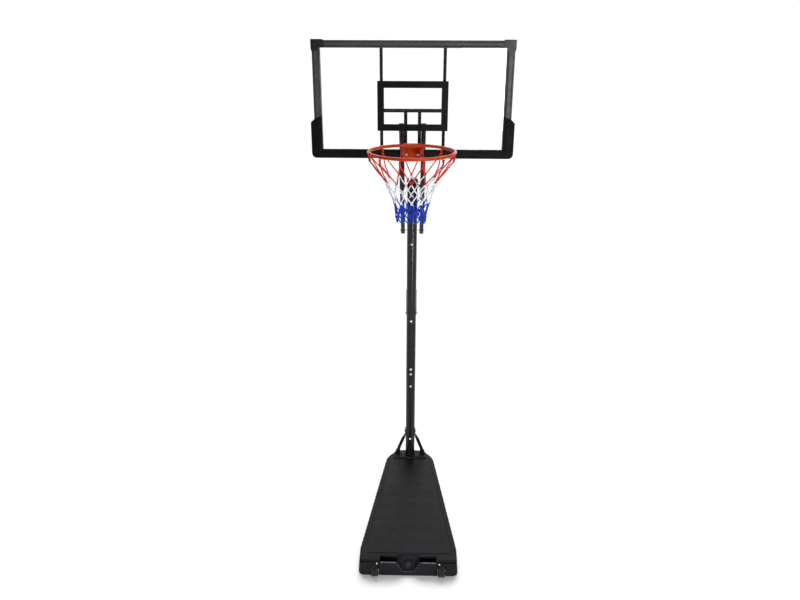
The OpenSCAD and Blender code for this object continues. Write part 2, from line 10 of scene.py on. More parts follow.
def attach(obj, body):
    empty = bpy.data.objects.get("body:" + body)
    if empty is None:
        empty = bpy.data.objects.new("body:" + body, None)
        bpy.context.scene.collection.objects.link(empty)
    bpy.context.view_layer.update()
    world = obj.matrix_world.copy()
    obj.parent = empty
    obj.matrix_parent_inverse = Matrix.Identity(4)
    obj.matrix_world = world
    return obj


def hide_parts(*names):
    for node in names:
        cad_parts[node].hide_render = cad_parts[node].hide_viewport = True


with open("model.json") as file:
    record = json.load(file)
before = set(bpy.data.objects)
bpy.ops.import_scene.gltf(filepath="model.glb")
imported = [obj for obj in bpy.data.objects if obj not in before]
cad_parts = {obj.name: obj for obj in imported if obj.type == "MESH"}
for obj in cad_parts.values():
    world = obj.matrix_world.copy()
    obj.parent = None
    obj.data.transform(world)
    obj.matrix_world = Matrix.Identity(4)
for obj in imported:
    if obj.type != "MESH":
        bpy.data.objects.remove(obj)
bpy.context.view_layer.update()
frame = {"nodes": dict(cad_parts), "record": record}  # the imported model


NODES = frame["nodes"]
SCENE = bpy.context.scene
SCENE.view_settings.view_transform = "Standard"


# ---------------------------------------------------------------- camera, stage, light
def make_camera():
    data = bpy.data.cameras.new("photo_view")
    data.sensor_width = 36.0
    data.lens = 31.59
    data.clip_start = 0.05
    data.clip_end = 3000.0
    cam = bpy.data.objects.new("photo_view", data)
    SCENE.collection.objects.link(cam)
    turn = (
        Matrix.Rotation(math.radians(1.30), 4, "Z")
        @ Matrix.Rotation(math.radians(68.75), 4, "X")
        @ Matrix.Rotation(math.radians(0.16), 4, "Z")
    )
    cam.matrix_world = Matrix.Translation((0.025, -4.185, 3.300)) @ turn
    SCENE.camera = cam


def make_stage():
    me = bpy.data.meshes.new("studio_floor")
    s = 9.0
    me.from_pydata([(-s, -s, 0), (s, -s, 0), (s, s, 0), (-s, s, 0)], [], [(0, 1, 2, 3)])
    floor = bpy.data.objects.new("studio_floor", me)
    SCENE.collection.objects.link(floor)
    m = bpy.data.materials.new("studio_floor")
    m.use_nodes = True
    b = m.node_tree.nodes["Principled BSDF"]
    b.inputs["Base Color"].default_value = (0.92, 0.92, 0.92, 1)
    b.inputs["Roughness"].default_value = 0.8
    b.inputs["Specular IOR Level"].default_value = 0.1
    b.inputs["Emission Color"].default_value = (1, 1, 1, 1)
    b.inputs["Emission Strength"].default_value = 0.035
    me.materials.append(m)


def make_world():
    w = bpy.data.worlds.new("studio")
    SCENE.world = w
    w.use_nodes = True
    t = w.node_tree
    bg = t.nodes["Background"]
    bg.inputs["Color"].default_value = (1, 1, 1, 1)
    tc = t.nodes.new("ShaderNodeTexCoord")
    dot = t.nodes.new("ShaderNodeVectorMath")
    dot.operation = "DOT_PRODUCT"
    dot.inputs[1].default_value = (0.15, -0.52, 0.84)
    t.links.new(tc.outputs["Generated"], dot.inputs[0])
    rng = t.nodes.new("ShaderNodeMapRange")
    rng.interpolation_type = "SMOOTHSTEP"
    rng.inputs["From Min"].default_value = 0.15
    rng.inputs["From Max"].default_value = 1.0
    rng.inputs["To Min"].default_value = 0.09
    rng.inputs["To Max"].default_value = 0.41
    t.links.new(dot.outputs["Value"], rng.inputs["Value"])
    # the backdrop itself reads plain white
    lp = t.nodes.new("ShaderNodeLightPath")
    seen = t.nodes.new("ShaderNodeMath")
    seen.operation = "MAXIMUM"
    t.links.new(lp.outputs["Is Camera Ray"], seen.inputs[0])
    t.links.new(lp.outputs["Is Transmission Ray"], seen.inputs[1])
    mix = t.nodes.new("ShaderNodeMix")
    t.links.new(seen.outputs[0], mix.inputs[0])
    t.links.new(rng.outputs["Result"], mix.inputs[2])
    mix.inputs[3].default_value = 1.05
    t.links.new(mix.outputs[0], bg.inputs["Strength"])


def area(name, pos, target, sx, sy, power, spread=180):
    d = bpy.data.lights.new(name, "AREA")
    d.shape = "RECTANGLE"
    d.size = sx
    d.size_y = sy
    d.energy = power
    d.spread = math.radians(spread)
    o = bpy.data.objects.new(name, d)
    SCENE.collection.objects.link(o)
    o.location = pos
    o.rotation_euler = (Vector(target) - Vector(pos)).to_track_quat("-Z", "Y").to_euler()


def make_lights():
    sun = bpy.data.lights.new("overhead", "SUN")
    sun.energy = 3.5
    sun.angle = math.radians(50)
    o = bpy.data.objects.new("overhead", sun)
    SCENE.collection.objects.link(o)
    o.rotation_euler = Vector((0.05, -0.95, -1.0)).to_track_quat("-Z", "Y").to_euler()
    area("strip_right", (2.1, -3.9, 1.75), (0, 0.5, 1.95), 0.18, 3.4, 20, 50)
    area("strip_left", (-3.4, -2.4, 2.4), (0, 0, 1.8), 0.2, 3.2, 10)
    area("top_box", (0.3, -2.2, 5.6), (0, 0, 2.9), 1.3, 0.6, 6, 70)
    area("back_fill", (1.5, 4.5, 3.2), (0, 0, 1.6), 2.0, 2.4, 26)
    area("low_front", (0.2, -3.4, 0.14), (0, -0.6, 0.09), 1.4, 0.18, 4.6, 40)


make_camera()
make_stage()
make_world()
make_lights()


# ---------------------------------------------------------------- materials
class Mat:
    """A principled material whose colour, roughness and relief come from nodes."""

    def __init__(self, name, **sockets):
        self.mat = bpy.data.materials.new(name)
        self.mat.use_nodes = True
        self.t = self.mat.node_tree
        self.b = self.t.nodes["Principled BSDF"]
        self.tc = self.new("ShaderNodeTexCoord")
        for k, v in sockets.items():
            self.b.inputs[k.replace("_", " ")].default_value = v

    def new(self, kind):
        return self.t.nodes.new(kind)

    def link(self, a, b):
        self.t.links.new(a, b)

    def vec(self, scale=(1, 1, 1), rot=(0, 0, 0)):
        m = self.new("ShaderNodeMapping")
        m.inputs["Scale"].default_value = scale
        m.inputs["Rotation"].default_value = rot
        self.link(self.tc.outputs["Object"], m.inputs["Vector"])
        return m.outputs["Vector"]

    def noise(self, scale, detail=3.0, rough=0.5, vec=None, distort=0.0):
        n = self.new("ShaderNodeTexNoise")
        n.inputs["Scale"].default_value = scale
        n.inputs["Detail"].default_value = detail
        n.inputs["Roughness"].default_value = rough
        n.inputs["Distortion"].default_value = distort
        self.link(vec or self.tc.outputs["Object"], n.inputs["Vector"])
        return n.outputs["Fac"]

    def cells(self, scale, feature="F1", out="Distance", vec=None):
        n = self.new("ShaderNodeTexVoronoi")
        n.feature = feature
        n.inputs["Scale"].default_value = scale
        self.link(vec or self.tc.outputs["Object"], n.inputs["Vector"])
        return n.outputs[out]

    def axis(self, name):
        n = self.new("ShaderNodeSeparateXYZ")
        self.link(self.tc.outputs["Object"], n.inputs[0])
        return n.outputs[name]

    def span(self, value, f0, f1, t0, t1):
        n = self.new("ShaderNodeMapRange")
        n.inputs["From Min"].default_value = f0
        n.inputs["From Max"].default_value = f1
        n.inputs["To Min"].default_value = t0
        n.inputs["To Max"].default_value = t1
        self.link(value, n.inputs["Value"])
        return n.outputs["Result"]

    def calc(self, op, a, b):
        n = self.new("ShaderNodeMath")
        n.operation = op
        for i, v in enumerate((a, b)):
            if isinstance(v, (int, float)):
                n.inputs[i].default_value = v
            else:
                self.link(v, n.inputs[i])
        return n.outputs[0]

    def ramp(self, value, stops, interp="LINEAR"):
        n = self.new("ShaderNodeValToRGB")
        n.color_ramp.interpolation = interp
        el = n.color_ramp.elements
        while len(el) > 1:
            el.remove(el[-1])
        el[0].position = stops[0][0]
        el[0].color = (*stops[0][1], 1)
        for pos, col in stops[1:]:
            e = el.new(pos)
            e.color = (*col, 1)
        self.link(value, n.inputs["Fac"])
        return n.outputs["Color"]

    def mix(self, fac, a, b):
        n = self.new("ShaderNodeMix")
        n.data_type = "RGBA"
        for i, v in ((0, fac), (6, a), (7, b)):
            if isinstance(v, tuple):
                n.inputs[i].default_value = (*v, 1)
            elif isinstance(v, (int, float)):
                n.inputs[i].default_value = v
            else:
                self.link(v, n.inputs[i])
        return n.outputs[2]

    def bump(self, height, distance, strength=1.0, normal=None):
        n = self.new("ShaderNodeBump")
        n.inputs["Strength"].default_value = strength
        n.inputs["Distance"].default_value = distance
        self.link(height, n.inputs["Height"])
        if normal is not None:
            self.link(normal, n.inputs["Normal"])
        return n.outputs["Normal"]

    def edges(self, radius):
        """1 on sharp edges, falling to 0 on the faces beside them."""
        bev = self.new("ShaderNodeBevel")
        bev.samples = 4
        bev.inputs["Radius"].default_value = radius
        geo = self.new("ShaderNodeNewGeometry")
        dot = self.new("ShaderNodeVectorMath")
        dot.operation = "DOT_PRODUCT"
        self.link(bev.outputs["Normal"], dot.inputs[0])
        self.link(geo.outputs["Normal"], dot.inputs[1])
        return self.span(dot.outputs["Value"], 0.985, 0.80, 0.0, 1.0)

    def finish(self, colour, rough, normal):
        self.link(colour, self.b.inputs["Base Color"])
        self.link(rough, self.b.inputs["Roughness"])
        self.link(normal, self.b.inputs["Normal"])
        return self.mat


def moulded(name, dark, light, rough, grain, grain_d, wave=0.0, scuff=0.35, spec=0.35, edge_highlight=0.0):
    """Moulded plastic: fine mould grain, slow tone drift, faint handling scuffs, and optionally a painted highlight
    along the edges.
    """
    m = Mat(name, Specular_IOR_Level=spec)
    slow = m.noise(7.0, 4.0, 0.55)
    fine = m.noise(grain * 0.35, 4.0, 0.6)
    col = m.mix(m.span(slow, 0.35, 0.65, 0.0, 1.0), dark, light)
    col = m.mix(m.span(fine, 0.30, 0.75, 0.0, 0.35), col, tuple(1.55 * c for c in light))
    lines = m.noise(1.0, 5.0, 0.65, m.vec((90, 9, 60), (0, 0, 0.4)), 0.4)
    marks = m.span(lines, 0.66, 0.80, 0.0, scuff)
    col = m.mix(marks, col, tuple(2.6 * c for c in light))
    # Painted highlight: the edges are painted lighter, in noisy patches.
    if edge_highlight:
        painted_edge_highlight = m.calc("MULTIPLY", m.edges(0.0065), m.span(m.noise(38.0, 5.0, 0.7), 0.30, 0.62, 0.35 * edge_highlight, edge_highlight))
        col = m.mix(painted_edge_highlight, col, tuple(7.5 * c for c in light))
    r = m.span(m.noise(24.0, 5.0, 0.6), 0.3, 0.7, rough[0], rough[1])
    r = m.calc("ADD", r, m.span(marks, 0.0, 1.0, 0.0, 0.2))
    g = m.cells(grain, "SMOOTH_F1")
    n = m.bump(g, grain_d, 0.45)
    n = m.bump(m.noise(grain * 0.6, 4.0, 0.6), grain_d, 0.4, n)
    if wave:
        n = m.bump(m.noise(9.0, 2.0, 0.4), wave, 0.5, n)
    return m.finish(col, r, n)


def coated(name, dark, light, rough, peel=0.00004, spec=0.45, edge=0.25, edge_sheen_col=None):
    """Powder coat: orange peel, speckle, and the edges painted lighter in patches as a painted highlight."""
    m = Mat(name, Specular_IOR_Level=spec)
    slow = m.noise(5.0, 3.0, 0.5)
    speck = m.noise(1400.0, 2.0, 0.5)
    col = m.mix(m.span(slow, 0.35, 0.65, 0.0, 1.0), dark, light)
    col = m.mix(m.span(speck, 0.55, 0.75, 0.0, 0.35), col, tuple(min(1, 1.6 * c) for c in light))
    # Painted highlight: the edges are painted lighter, in noisy patches.
    e = m.edges(0.0016)
    painted_edge_sheen = m.calc("MULTIPLY", e, m.span(m.noise(60.0, 5.0, 0.7), 0.38, 0.62, 0.0, edge))
    col = m.mix(painted_edge_sheen, col, edge_sheen_col or tuple(min(1, 3.0 * c + 0.02) for c in light))
    r = m.span(m.noise(35.0, 4.0, 0.6), 0.3, 0.7, rough[0], rough[1])
    r = m.calc("ADD", r, m.span(speck, 0.4, 0.7, -0.03, 0.05))
    n = m.bump(m.noise(520.0, 2.0, 0.45), peel, 0.55)
    n = m.bump(m.cells(330.0, "SMOOTH_F1"), peel, 0.30, n)
    n = m.bump(m.noise(14.0, 2.0, 0.4), 0.0006, 0.25, n)
    return m.finish(col, r, n)


def zinc_plate():
    m = Mat("zinc", Metallic=1.0)
    spangle = m.cells(420.0, "F1", "Color")
    grey = m.new("ShaderNodeRGBToBW")
    m.link(spangle, grey.inputs[0])
    col = m.mix(m.span(grey.outputs[0], 0.2, 0.8, 0.0, 1.0), (0.56, 0.57, 0.58), (0.78, 0.78, 0.76))
    tarnish = m.span(m.noise(90.0, 5.0, 0.7), 0.50, 0.75, 0.0, 0.6)
    col = m.mix(tarnish, col, (0.42, 0.41, 0.38))
    r = m.span(m.noise(160.0, 4.0, 0.6), 0.3, 0.7, 0.20, 0.42)
    n = m.bump(m.noise(1.0, 3.0, 0.6, m.vec((2200, 2200, 260))), 0.00006, 0.5)
    n = m.bump(m.noise(700.0, 3.0, 0.5), 0.00008, 0.4, n)
    return m.finish(col, r, n)


def clear_sheet():
    m = Mat("clear_panel", IOR=1.22, Transmission_Weight=1.0, Specular_IOR_Level=0.12)
    haze = m.noise(3.5, 4.0, 0.55)
    col = m.mix(m.span(haze, 0.3, 0.7, 0.0, 1.0), (0.985, 0.992, 0.995), (0.965, 0.985, 0.988))
    hair = m.noise(1.0, 6.0, 0.7, m.vec((420, 30, 60), (0.3, 0.0, 0.5)), 0.5)
    r = m.calc("ADD", m.span(haze, 0.3, 0.7, 0.0, 0.02), m.span(hair, 0.66, 0.8, 0.0, 0.10))
    n = m.bump(m.noise(2.2, 1.0, 0.3), 0.0004, 0.05)
    return m.finish(col, r, n)


def print_ink():
    m = Mat("target_print", Specular_IOR_Level=0.09)
    col = m.mix(m.span(m.noise(9.0, 3.0), 0.35, 0.65, 0.0, 1.0), (0.0030, 0.0030, 0.0033), (0.0050, 0.0050, 0.0053))
    pin = m.cells(240.0)
    col = m.mix(m.span(pin, 0.05, 0.0, 0.0, 0.4), col, (0.012, 0.012, 0.012))
    r = m.span(m.noise(50.0, 4.0), 0.3, 0.7, 0.34, 0.50)
    n = m.bump(m.noise(900.0, 3.0), 0.00008, 0.5)
    return m.finish(col, r, n)


def cord_dye():
    """Braided cord dyed red, white and blue from the ring down, with strand shading and fuzz."""
    m = Mat("net_cord", Specular_IOR_Level=0.12, Sheen_Weight=0.06, Sheen_Roughness=0.5)
    z = m.axis("Z")
    ragged = m.calc("ADD", z, m.span(m.noise(60.0, 2.0), 0.0, 1.0, -0.010, 0.010))
    place = m.span(ragged, 2.25, 2.67, 0.0, 1.0)
    band = m.ramp(
        place,
        [
            (0.0, (0.006, 0.052, 0.60)),
            (0.352, (0.84, 0.85, 0.88)),
            (0.634, (0.66, 0.024, 0.007)),
        ],
        "CONSTANT",
    )
    strand = m.noise(1.0, 3.0, 0.6, m.vec((650, 650, 420)))
    deep = m.ramp(
        place,
        [(0.0, (0.003, 0.017, 0.27)), (0.352, (0.42, 0.43, 0.46)), (0.634, (0.30, 0.009, 0.004))],
        "CONSTANT",
    )
    col = m.mix(m.span(strand, 0.35, 0.65, 0.0, 0.8), band, deep)
    lint = m.noise(1900.0, 3.0, 0.6)
    col = m.mix(m.span(lint, 0.60, 0.8, 0.0, 0.10), col, (0.85, 0.82, 0.80))
    r = m.span(m.noise(300.0, 3.0), 0.3, 0.7, 0.62, 0.88)
    n = m.bump(strand, 0.0004, 0.6)
    n = m.bump(lint, 0.0002, 0.5, n)
    return m.finish(col, r, n)


def pad_skin():
    m = Mat("edge_padding", Specular_IOR_Level=0.07)
    col = m.mix(m.span(m.noise(11.0, 4.0), 0.35, 0.65, 0.0, 1.0), (0.0022, 0.0022, 0.0024), (0.0042, 0.0042, 0.0045))
    pores = m.cells(520.0)
    col = m.mix(m.span(pores, 0.35, 0.05, 0.0, 0.5), col, (0.0012, 0.0012, 0.0012))
    r = m.span(m.noise(40.0, 4.0), 0.3, 0.7, 0.46, 0.64)
    n = m.bump(m.cells(520.0, "SMOOTH_F1"), 0.00035, 0.6)
    n = m.bump(m.noise(1500.0, 3.0), 0.00015, 0.5, n)
    n = m.bump(m.noise(18.0, 2.0), 0.0012, 0.3, n)
    return m.finish(col, r, n)


MATS = {
    "tank_plastic": moulded("tank_plastic", (0.0062, 0.0062, 0.0074), (0.0086, 0.0086, 0.0104), (0.42, 0.54), 620.0, 0.00030, 0.0022, 0.22, 0.04, 0.85),
    "moulded_plastic": moulded("moulded_plastic", (0.0055, 0.0055, 0.0058), (0.0085, 0.0085, 0.0090), (0.24, 0.36), 1100.0, 0.00008, 0.0, 0.3, 0.50),
    "gasket_rubber": moulded("gasket_rubber", (0.0090, 0.0090, 0.0090), (0.0150, 0.0150, 0.0150), (0.62, 0.78), 1700.0, 0.00012, 0.0, 0.2, 0.3),
    "tyre": moulded("tyre", (0.0050, 0.0050, 0.0050), (0.0090, 0.0090, 0.0090), (0.50, 0.72), 900.0, 0.00025, 0.0, 0.6, 0.15),
    "zinc": zinc_plate(),
    "pole_upper_coat": coated("pole_upper_coat", (0.0050, 0.0050, 0.0070), (0.0072, 0.0070, 0.0095), (0.17, 0.24), spec=0.27),
    "pole_lower_coat": coated("pole_lower_coat", (0.0048, 0.0047, 0.0048), (0.0068, 0.0067, 0.0068), (0.20, 0.28), spec=0.20),
    "steel_coat": coated("steel_coat", (0.0035, 0.0035, 0.0039), (0.0055, 0.0055, 0.0060), (0.26, 0.36), spec=0.11),
    "frame_coat": coated("frame_coat", (0.0440, 0.0440, 0.0452), (0.0540, 0.0540, 0.0552), (0.22, 0.30), spec=0.42),
    "clear_panel": clear_sheet(),
    "target_print": print_ink(),
    "edge_padding": pad_skin(),
    "rim_coat": coated("rim_coat", (0.335, 0.024, 0.0009), (0.415, 0.040, 0.0014), (0.24, 0.34), 0.00005, 0.13, 0.4, (0.55, 0.10, 0.02)),
    "net_cord": cord_dye(),
}


# ---------------------------------------------------------------- mesh helpers
def add_mesh(name, verts, faces, slot, body, smooth=True, replaces=()):
    me = bpy.data.meshes.new(name)
    me.from_pydata([tuple(v) for v in verts], [], faces)
    me.validate()
    me.update()
    if smooth:
        me.polygons.foreach_set("use_smooth", [True] * len(me.polygons))
    ob = bpy.data.objects.new(name, me)
    SCENE.collection.objects.link(ob)
    return dress(ob, slot, body, replaces)


def dress(ob, slot, body, replaces=()):
    ob.data.materials.clear()
    ob.data.materials.append(MATS[slot])
    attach(ob, body)
    if replaces:
        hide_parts(*replaces)
    return ob


def apply_modifiers(ob):
    dg = bpy.context.evaluated_depsgraph_get()
    me = bpy.data.meshes.new_from_object(ob.evaluated_get(dg))
    ob.modifiers.clear()
    ob.data = me
    return ob


def coords(me):
    co = np.zeros(len(me.vertices) * 3)
    me.vertices.foreach_get("co", co)
    return co.reshape(-1, 3)


def normals(me):
    no = np.zeros(len(me.vertices) * 3)
    me.vertex_normals.foreach_get("vector", no)
    return no.reshape(-1, 3)


def set_coords(me, co):
    me.vertices.foreach_set("co", co.ravel())
    me.update()


def weave_in(parts):
    """Joins (verts, faces) pieces into one list of each."""
    verts, faces = [], []
    for v, f in parts:
        k = len(verts)
        verts.extend(v)
        faces.extend([tuple(i + k for i in face) for face in f])
    return verts, faces


def sweep(path, r, sides=8, lobes=0, depth=0.0, pitch=0.02, closed=False, cap=True, phase=0.0):
    """A tube along path; lobes, depth and pitch twist it like laid rope."""
    pts = [Vector(p) for p in path]
    n = len(pts)
    tang = []
    for i in range(n):
        a = pts[(i - 1) % n] if (closed or i > 0) else pts[i]
        b = pts[(i + 1) % n] if (closed or i < n - 1) else pts[i]
        tang.append((b - a).normalized())
    ref = Vector((0, 0, 1)) if abs(tang[0].z) < 0.9 else Vector((1, 0, 0))
    u = (ref - tang[0] * ref.dot(tang[0])).normalized()
    verts, s = [], 0.0
    for i in range(n):
        if i:
            s += (pts[i] - pts[i - 1]).length
            u = (u - tang[i] * u.dot(tang[i])).normalized()
        w = tang[i].cross(u)
        rr = r[i] if isinstance(r, (list, tuple)) else r
        for k in range(sides):
            a = 2 * math.pi * k / sides
            q = rr * (1 + depth * math.cos(lobes * (a - 2 * math.pi * s / pitch / max(lobes, 1)) + phase))
            verts.append(pts[i] + u * (q * math.cos(a)) + w * (q * math.sin(a)))
    faces = []
    for i in range(n if closed else n - 1):
        j = (i + 1) % n
        for k in range(sides):
            m = (k + 1) % sides
            faces.append((i * sides + k, i * sides + m, j * sides + m, j * sides + k))
    if not closed and cap:
        faces.append(tuple(reversed(range(sides))))
        faces.append(tuple((n - 1) * sides + k for k in range(sides)))
    return verts, faces


def curve_points(knots, step):
    """Centripetal-like Catmull-Rom through knots, sampled about every step metres."""
    p = [Vector(k) for k in knots]
    p = [p[0] * 2 - p[1]] + p + [p[-1] * 2 - p[-2]]
    out = []
    for i in range(1, len(p) - 2):
        seg = (p[i + 1] - p[i]).length
        m = max(2, int(math.ceil(seg / step)))
        for j in range(m):
            t = j / m
            a, b, c, d = p[i - 1], p[i], p[i + 1], p[i + 2]
            out.append(
                0.5 * ((2 * b) + (c - a) * t + (2 * a - 5 * b + 4 * c - d) * t * t + (3 * b - a - 3 * c + d) * t ** 3)
            )
    out.append(p[-2])
    return out


def box_mesh(x0, x1, y0, y1, z0, z1):
    v = [(x, y, z) for z in (z0, z1) for y in (y0, y1) for x in (x0, x1)]
    f = [(0, 2, 3, 1), (4, 5, 7, 6), (0, 1, 5, 4), (2, 6, 7, 3), (0, 4, 6, 2), (1, 3, 7, 5)]
    return v, f


def formed_copy(node, name, voxel, extra=(), smooth=4, keep=None):
    """A finely meshed, softened copy of a CAD node, with extra solids moulded into it."""
    src = NODES[node].data
    verts = [tuple(v.co) for v in src.vertices]
    faces = [tuple(p.vertices) for p in src.polygons]
    v, f = weave_in([(verts, faces), *extra])
    me = bpy.data.meshes.new(name)
    me.from_pydata([tuple(q) for q in v], [], f)
    ob = bpy.data.objects.new(name, me)
    SCENE.collection.objects.link(ob)
    w = ob.modifiers.new("weld", "WELD")
    w.merge_threshold = 0.00002
    r = ob.modifiers.new("form", "REMESH")
    r.mode = "VOXEL"
    r.voxel_size = voxel
    r.use_smooth_shade = True
    s = ob.modifiers.new("soften", "SMOOTH")
    s.factor = 0.5
    s.iterations = smooth
    apply_modifiers(ob)
    return ob


def thin_out(ob, ratio):
    d = ob.modifiers.new("thin", "DECIMATE")
    d.ratio = ratio
    apply_modifiers(ob)
    ob.data.polygons.foreach_set("use_smooth", [True] * len(ob.data.polygons))
    return ob


# ---------------------------------------------------------------- base tank
def outline(d):
    """The tank's plan outline in metres, inset by d millimetres, right side from front to back."""
    r, cx, cy, s, w = 150 - d, 37.0, 447.0, 0.138, 315 - d
    n = math.sqrt(1 + s * s)
    yk = (cx + s * cy + r * n - w) / s
    pts = [(285 + (30 - d) * math.cos(math.radians(a)), -570 + (30 - d) * math.sin(math.radians(a))) for a in range(-90, 1, 10)]
    pts.append((w, yk))
    a0 = math.degrees(math.atan(s))
    pts += [(cx + r * math.cos(math.radians(a)), cy + r * math.sin(math.radians(a))) for a in np.linspace(a0, 90, 24)]
    return [(x / 1000, y / 1000) for x, y in pts]


def top_z(y):
    return 0.105 + 0.04595 * (y + 0.6)


def core(d, drop, y0, y1):
    right = [p for p in outline(d) if y0 < p[1] < y1]
    lo = (315 - d) / 1000
    edge = [(lo, y0)] + right
    if edge[-1][1] < y1 - 1e-6:
        # cut the outline at y1
        full = outline(d)
        for a, b in zip(full, full[1:]):
            if a[1] <= y1 <= b[1] and b[1] > a[1]:
                t = (y1 - a[1]) / (b[1] - a[1])
                edge.append((a[0] + t * (b[0] - a[0]), y1))
                break
    ring = edge + [(-x, y) for x, y in reversed(edge)]
    n = len(ring)
    verts = [(x, y, 0.003) for x, y in ring] + [(x, y, top_z(y) - drop) for x, y in ring]
    faces = [tuple(reversed(range(n))), tuple(range(n, 2 * n))]
    faces += [(i, (i + 1) % n, n + (i + 1) % n, n + i) for i in range(n)]
    return verts, faces


def edge_ribs():
    """Short ribs that fill the step along both sides of the tank."""
    out = []
    s = 0.138
    n = math.sqrt(1 + s * s)
    c = (37.0 + s * 447.0 + 150 * n) / 1000
    t = (-s / n, 1 / n)  # along the side line, towards the back
    q = (-1 / n, -s / n)  # inwards
    for k in range(22):
        y = -0.462 + 0.0385 * k
        x = c - s * y
        z = top_z(y)
        for sx in (1, -1):
            v, f = box_mesh(-0.0055, 0.0055, 0.0006, 0.011, -0.020, -0.0035)
            w = []
            for a, b, h in v:
                px, py = x + t[0] * a + q[0] * b, y + t[1] * a + q[1] * b
                w.append((sx * px, py, z + h))
            out.append((w, f if sx > 0 else [tuple(reversed(g)) for g in f]))
    return out


def inset_of(co):
    """Distance of each point from the plan outline."""
    pts = outline(0)
    pts = pts + [(-x, y) for x, y in reversed(pts)]
    a = np.array(pts)
    b = np.roll(a, -1, axis=0)
    best = np.full(len(co), 9.0)
    for p, q in zip(a, b):
        d = q - p
        L = float(d @ d)
        if L < 1e-12:
            continue
        t = np.clip(((co[:, :2] - p) @ d) / L, 0, 1)
        best = np.minimum(best, np.hypot(co[:, 0] - p[0] - t * d[0], co[:, 1] - p[1] - t * d[1]))
    return best


def smooth01(x):
    x = np.clip(x, 0, 1)
    return x * x * (3 - 2 * x)


def make_tank():
    extra = [core(4, 0.0130, -0.522, 0.494), core(11, 0.0030, -0.522, 0.494)] + edge_ribs()
    ob = formed_copy("base_tank", "tank_shell", 0.0030, extra, 3)
    co, no = coords(ob.data), normals(ob.data)
    d = inset_of(co)
    y, z = co[:, 1], co[:, 2]
    top = (no[:, 2] > 0.55) & (z > top_z(y) - 0.004) & (z < top_z(y) + 0.003)
    far = smooth01((y + 0.515) / 0.02)
    plat = smooth01((np.maximum(np.abs(co[:, 0]) - 0.142, 0.470 - y)) / 0.02)
    groove = 0.0024 * np.exp(-(((d - 0.034) / 0.0042) ** 2)) * far * plat
    crease = 0.0032 * np.exp(-(((y + 0.527) / 0.0042) ** 2)) * smooth01((0.285 - np.abs(co[:, 0])) / 0.02)
    inner = smooth01((d - 0.045) / 0.02) * smooth01((y + 0.50) / 0.03) * plat
    flutes = 0.0011 * inner * (0.5 - 0.5 * np.cos(2 * np.pi * (y + 0.50) / 0.118)) ** 3
    co[:, 2] -= np.where(top, groove + crease + flutes, 0)
    side = (np.abs(no[:, 2]) < 0.35) & (d < 0.004) & (z > 0.02)
    part = 0.0012 * np.exp(-(((z - 0.052) / 0.0032) ** 2)) * smooth01((y + 0.56) / 0.02)
    co -= np.where(side, part, 0)[:, None] * no
    set_coords(ob.data, co)
    thin_out(ob, 0.42)
    dress(ob, "tank_plastic", "stand", ["base_tank"])


def make_scoop_ribs():
    parts = []
    down = Vector((0, -65, -76)).normalized()
    up = Vector((0, -76, 65)).normalized()
    for k in range(-4, 5):
        x = 0.0112 * k
        a = Vector((x, -0.5345, 0.1005))
        drop = 0.0205 if abs(k) < 2 else (0.030 if abs(k) == 2 else 0.046)
        b = a + down * drop
        path = [a + (b - a) * t + up * 0.0004 for t in np.linspace(0, 1, 9)]
        radii = [0.0026 * math.sqrt(max(0.08, 1 - (2 * t - 1) ** 8)) for t in np.linspace(0, 1, 9)]
        parts.append(sweep(path, radii, 12))
    v, f = weave_in(parts)
    add_mesh("scoop_ribs", v, f, "tank_plastic", "stand")


def make_struts():
    for side in ("left", "right"):
        ob = formed_copy(f"{side}_base_strut", f"{side}_strut_tube", 0.0014, (), 6)
        dress(ob, "steel_coat", "stand", [f"{side}_base_strut"])


# ---------------------------------------------------------------- wheels
def make_wheel(side, x0):
    c = Vector((x0, -0.602, 0.042))
    prof = [(-22.0, 27.5), (-22.0, 33.0), (-21.2, 36.4), (-19.6, 38.6), (-17.0, 39.8), (-13.0, 40.0), (-9.0, 40.0), (-4.6, 40.0),
            (-3.4, 39.6), (-2.6, 38.0), (-1.2, 37.6)]
    prof = prof + [(-a, b) for a, b in reversed(prof)]
    seg = 180
    verts, faces = [], []
    for i in range(seg):
        t = 2 * math.pi * i / seg
        phase = (i % 10) / 10
        cut = 1.0 if phase in (0.0, 0.1) else (0.55 if phase in (0.2, 0.9) else 0.0)
        for a, b in prof:
            r = b
            if abs(a) > 5.5 and b > 35:
                r = b - 1.9 * cut * min(1, (abs(a) - 5.5) / 3)
            verts.append(c + Vector((a, r * math.sin(t), r * math.cos(t))) / 1000)
    n = len(prof)
    for i in range(seg):
        j = (i + 1) % seg
        for k in range(n):
            m = (k + 1) % n
            faces.append((i * n + k, i * n + m, j * n + m, j * n + k))
    add_mesh(f"{side}_wheel_tread", verts, faces, "tyre", f"{side}_wheel", True, [f"{side}_wheel_tyre"])


def make_hub(side, x0):
    """Six spokes between the hub's rim and its boss, on both faces."""
    c = Vector((x0, -0.602, 0.042))
    parts = []
    for k in range(6):
        a = math.radians(60 * k + 15)
        for s in (-1, 1):
            pts = [c + Vector((s * 12.6, r * math.sin(a), r * math.cos(a))) / 1000 for r in np.linspace(9.5, 23, 7)]
            parts.append(sweep(pts, [0.0030, 0.0026, 0.0024, 0.0024, 0.0025, 0.0028, 0.0034], 10))
    v, f = weave_in(parts)
    add_mesh(f"{side}_wheel_spokes", v, f, "moulded_plastic", f"{side}_wheel")


